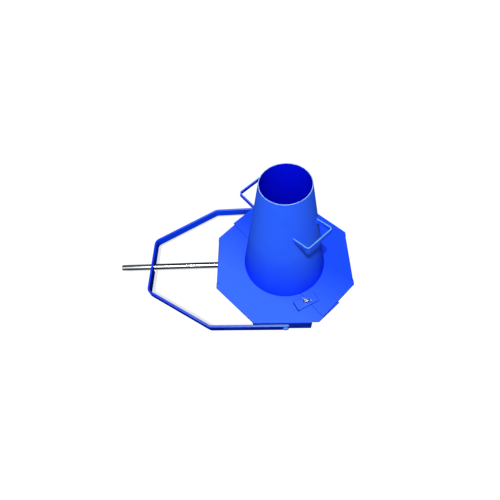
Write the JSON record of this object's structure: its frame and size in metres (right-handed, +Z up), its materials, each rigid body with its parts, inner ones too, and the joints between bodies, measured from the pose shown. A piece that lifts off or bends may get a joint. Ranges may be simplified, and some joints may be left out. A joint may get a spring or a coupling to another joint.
{
  "type": "slump cone",
  "caption": "Sheet-steel slump cone with two lift handles, standing on a lapped base with a swing-over bail, wing-nut clamps and the tamping rod stored beneath.",
  "frame": {"origin": "floor point under the middle of the whole kit's footprint, with the bail down and the rod stored", "axes": "+X along the stored rod from its chamfered end to its round tip, +Y from the near clamp's side to the far one, +Z up the cone's axis"},
  "size_m": [0.6106, 0.364, 0.343],
  "materials": {
    "blue_paint": "glossy sprayed enamel over sheet steel, lightly scuffed",
    "zinc_plate": "bright zinc plating",
    "bright_steel": "polished bare steel with fine length-wise scratches"
  },
  "bodies": {
    "base": {"lower_leaf": "blue_paint", "upper_leaf": "blue_paint", "near_clamp_bolt": "zinc_plate", "far_clamp_bolt": "zinc_plate", "near_clamp_washer": "zinc_plate", "far_clamp_washer": "zinc_plate", "near_pivot_bolt": "blue_paint", "far_pivot_bolt": "blue_paint", "near_pivot_washers": "zinc_plate", "far_pivot_washers": "zinc_plate", "near_pivot_nut": "zinc_plate", "far_pivot_nut": "zinc_plate"},
    "cone": {"cone_shell": "blue_paint", "cone_seam_weld": "blue_paint", "front_lift_handle": "blue_paint", "rear_lift_handle": "blue_paint", "front_handle_welds": "blue_paint", "rear_handle_welds": "blue_paint"},
    "bail": {"bail_handle": "blue_paint"},
    "rod": {"tamping_rod": "bright_steel"},
    "near_clamp": {"near_clamp_plate": "blue_paint"},
    "far_clamp": {"far_clamp_plate": "blue_paint"},
    "near_nut": {"near_wing_nut": "zinc_plate"},
    "far_nut": {"far_wing_nut": "zinc_plate"}
  },
  "joints": [
    {"name": "cone_lift", "type": "slide", "parent": "base", "child": "cone", "axis": [0, 0, 1], "range_m": [0, 0.32]},
    {"name": "bail_swing", "type": "hinge", "parent": "base", "child": "bail", "pos_m": [0.1353, 0, 0.024], "axis": [0, 1, 0], "range_deg": [0, 180]},
    {"name": "rod_slide", "type": "slide", "parent": "base", "child": "rod", "axis": [-1, 0, 0], "range_m": [0, 0.62]},
    {"name": "near_clamp_swivel", "type": "hinge", "parent": "base", "child": "near_clamp", "pos_m": [0.18623, -0.11895, 0.045], "axis": [0, 0, 1], "range_deg": [-32, 24]},
    {"name": "far_clamp_swivel", "type": "hinge", "parent": "base", "child": "far_clamp", "pos_m": [0.08436, 0.11895, 0.035], "axis": [0, 0, 1], "range_deg": [-55, 55]},
    {"name": "near_wing_spin", "type": "hinge", "parent": "base", "child": "near_nut", "pos_m": [0.18623, -0.11895, 0.05], "axis": [0, 0, 1], "continuous": true},
    {"name": "far_wing_spin", "type": "hinge", "parent": "base", "child": "far_nut", "pos_m": [0.08436, 0.11895, 0.05], "axis": [0, 0, 1], "continuous": true}
  ]
}
